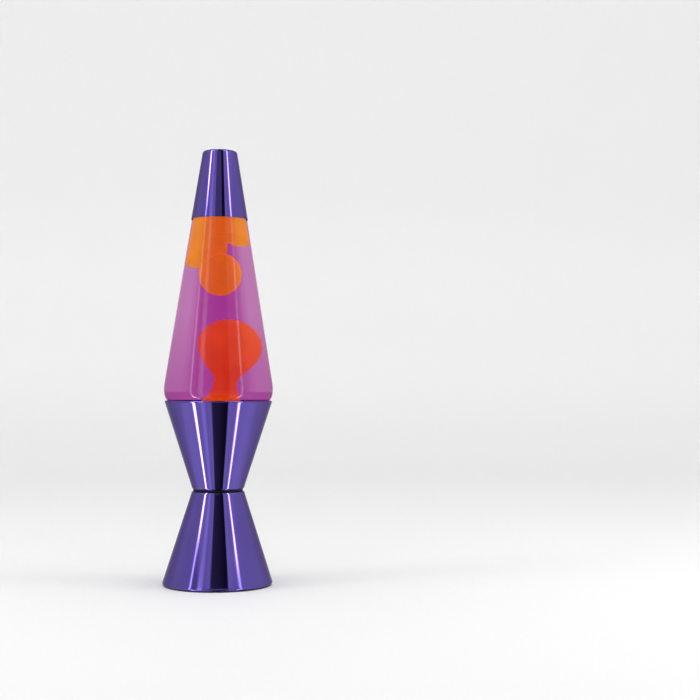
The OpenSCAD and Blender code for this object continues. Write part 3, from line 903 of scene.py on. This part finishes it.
# %% Upper wax and the ball
ball_low, ball_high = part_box("wax_ball")
hollow = bmesh.new()
ball_centre = [(a + b) / 2 / MM for a, b in zip(ball_low, ball_high)]
ball_radius = (ball_high[2] - ball_low[2]) / 2 / MM
ball_at(hollow, ball_centre, ball_radius + 0.45)
hollow_piece = scene_piece("hollow", hollow)
upper = bmesh.new()
ball_at(upper, (-20, 3, 331), 28.2)
ball_at(upper, (-6, 2, 322), 13.8)
ball_at(upper, (20, 0, 344), 20.2)
ball_at(upper, (-9, -7, 339), 20.0)
ball_at(upper, (14, -6, 346), 20.0)
drum(upper, 40.0, 334.0, LEVEL - 0.4)
upper_piece = make("wax_upper_soft", upper, wax, "globe", "wax_upper")
inside_high = trim_shape(WAX_GAP, LEVEL - 0.4)
melt(upper_piece, SKIN_CELL, SKIN_PASSES, keep=[inside_high], lose=[hollow_piece])
bpy.data.objects.remove(inside_high)
bpy.data.objects.remove(hollow_piece)

drop = bmesh.new()
bmesh.ops.create_uvsphere(drop, u_segments=96, v_segments=48, radius=ball_radius * MM,
                          matrix=Matrix.Translation([c * MM for c in ball_centre]))
make("wax_drop", drop, wax, "wax_ball", "wax_ball")

# %% [markdown]
# A loose ring of coiled wire lies in the pool. It breaks up the wax as it melts. The
# wire is a curve with a round bevel that winds round the ring, made a mesh.

# %% Wire ring in the pool
def wire_along(name, path, radius, closed=False):
    """A bmesh of round wire that follows a path, in millimetres."""
    curve = bpy.data.curves.new(name, "CURVE")
    curve.dimensions = "3D"
    curve.bevel_depth = radius * MM
    curve.bevel_resolution = 1
    spline = curve.splines.new("POLY")
    spline.points.add(len(path) - 1)
    for point, place in zip(spline.points, path):
        point.co = (*[c * MM for c in place], 1.0)
    spline.use_cyclic_u = closed
    piece = bpy.data.objects.new(name, curve)
    bpy.context.scene.collection.objects.link(piece)
    mesh = bpy.data.meshes.new_from_object(piece.evaluated_get(bpy.context.evaluated_depsgraph_get()))
    bpy.data.objects.remove(piece)
    bm = bmesh.new()
    bm.from_mesh(mesh)
    return bm


coil_low, coil_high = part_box("heat_coil")
wind_radius = 1.1
ring_radius = (coil_high[0] / MM) - 1.4
ring_height = (coil_low[2] + coil_high[2]) / 2 / MM
winds, per_wind = 70, 10
wire_path = []
for i in range(winds * per_wind):
    round_ring = 2.0 * math.pi * i / (winds * per_wind)
    round_wire = 2.0 * math.pi * i / per_wind
    reach = ring_radius + wind_radius * math.cos(round_wire)
    wire_path.append((reach * math.cos(round_ring), reach * math.sin(round_ring),
                      ring_height + wind_radius * math.sin(round_wire)))
make("pool_wire", wire_along("wire", wire_path, 0.25, closed=True), steel, "globe", "heat_coil")

# %% [markdown]
# The mouth of the globe is shut like a bottle, by a crown cap crimped over its lip.
# Its skirt flares out in flutes. The cap is turned first, and then every vertex of
# the skirt is pushed in or out by a wave.

# %% Crown cap
crown = bmesh.new()
crown_outer = [(0, 406.0), (11.2, 406.0), (12.9, 405.7), (13.8, 404.9),
               (14.1, 403.2), (14.4, 401.4), (15.1, 399.9), (16.05, 398.6)]
crown_inner = [(0, 405.6), (11.2, 405.6), (12.7, 405.3), (13.4, 404.6),
               (13.6, 403.2), (13.9, 401.4), (14.6, 399.8), (15.6, 398.4)]
flutes, flute_depth = 21, 0.45
skirt_top, skirt_height = 403.4, 4.0
spin_shell(crown, crown_outer, crown_inner, flutes * 8)
for v in crown.verts:
    skirt = min(1.0, max(0.0, (skirt_top - v.co.z / MM) / skirt_height))
    flute = math.cos(flutes * math.atan2(v.co.y, v.co.x))
    reach = v.co.xy.length
    if reach > 1e-6:
        v.co.xy *= (reach + (flute - 1.0) * flute_depth * skirt * MM) / reach
make("crown_fluted", crown, tin, "globe", "crown_cap")

# %% [markdown]
# The bulb's glass is blown to a pear shape, and its filament is a coil of thin wire
# across two supports.

# %% Bulb glass and filament
bulb_centre, bulb_radius, bulb_wall, neck = (0.0, 121.2), 23.8, 0.8, 11.9
bulb_side = flow([(neck, 78), (neck, 83), (12.4, 88), (13.8, 94), (16.2, 100), (19.5, 107.55)], 4)
bulb_inside = [(r - bulb_wall, z) for r, z in bulb_side]
bulb = bmesh.new()
spin_into(bulb, list(reversed(bow(bulb_centre, bulb_radius, -35, 90, 24)[1:])) + list(reversed(bulb_side))
          + bulb_inside + bow(bulb_centre, bulb_radius - bulb_wall, -34, 90, 24), 96)
make("bulb_shell", bulb, frost, "bulb", "bulb_glass")

coil_length, coil_radius, coil_height = 18.8, 0.38, 121.9
coil_turns, per_turn = 30, 10
coil_steps = coil_turns * per_turn
coil_path = [(-coil_length / 2.0 + coil_length * i / coil_steps,
              coil_radius * math.cos(2.0 * math.pi * i / per_turn),
              coil_height + coil_radius * math.sin(2.0 * math.pi * i / per_turn))
             for i in range(coil_steps + 1)]
tungsten = wire_along("tungsten", coil_path, 0.12)
bmesh.ops.holes_fill(tungsten, edges=tungsten.edges)
make("filament_coil", tungsten, steel, "bulb", "filament")

# %% [markdown]
# The other pieces have their true shape already, so they keep their meshes and only
# take a finish.

# %% Finishes for the remaining pieces
kept = {
    "bottom_cover": plastic, "waist_screws": steel, "waist_washers": rubber, "waist_nuts": steel,
    "lamp_holder": porcelain, "holder_screw_shell": brass, "centre_contact": brass,
    "terminal_screws": steel, "bulb_tip_contact": solder, "bulb_insulator": vitrite,
    "bulb_screw_base": rolled, "bulb_stem": bulb_clear, "filament_supports": steel,
    "crown_liner": liner,
}
for node, mat in kept.items():
    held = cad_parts[node]
    held.data.materials.clear()
    held.data.materials.append(mat)
    print(node, "gets", mat.name)

# %% [markdown]
# The last line brings the scene up to date.

# %% Bring the scene up to date
bpy.context.view_layer.update()
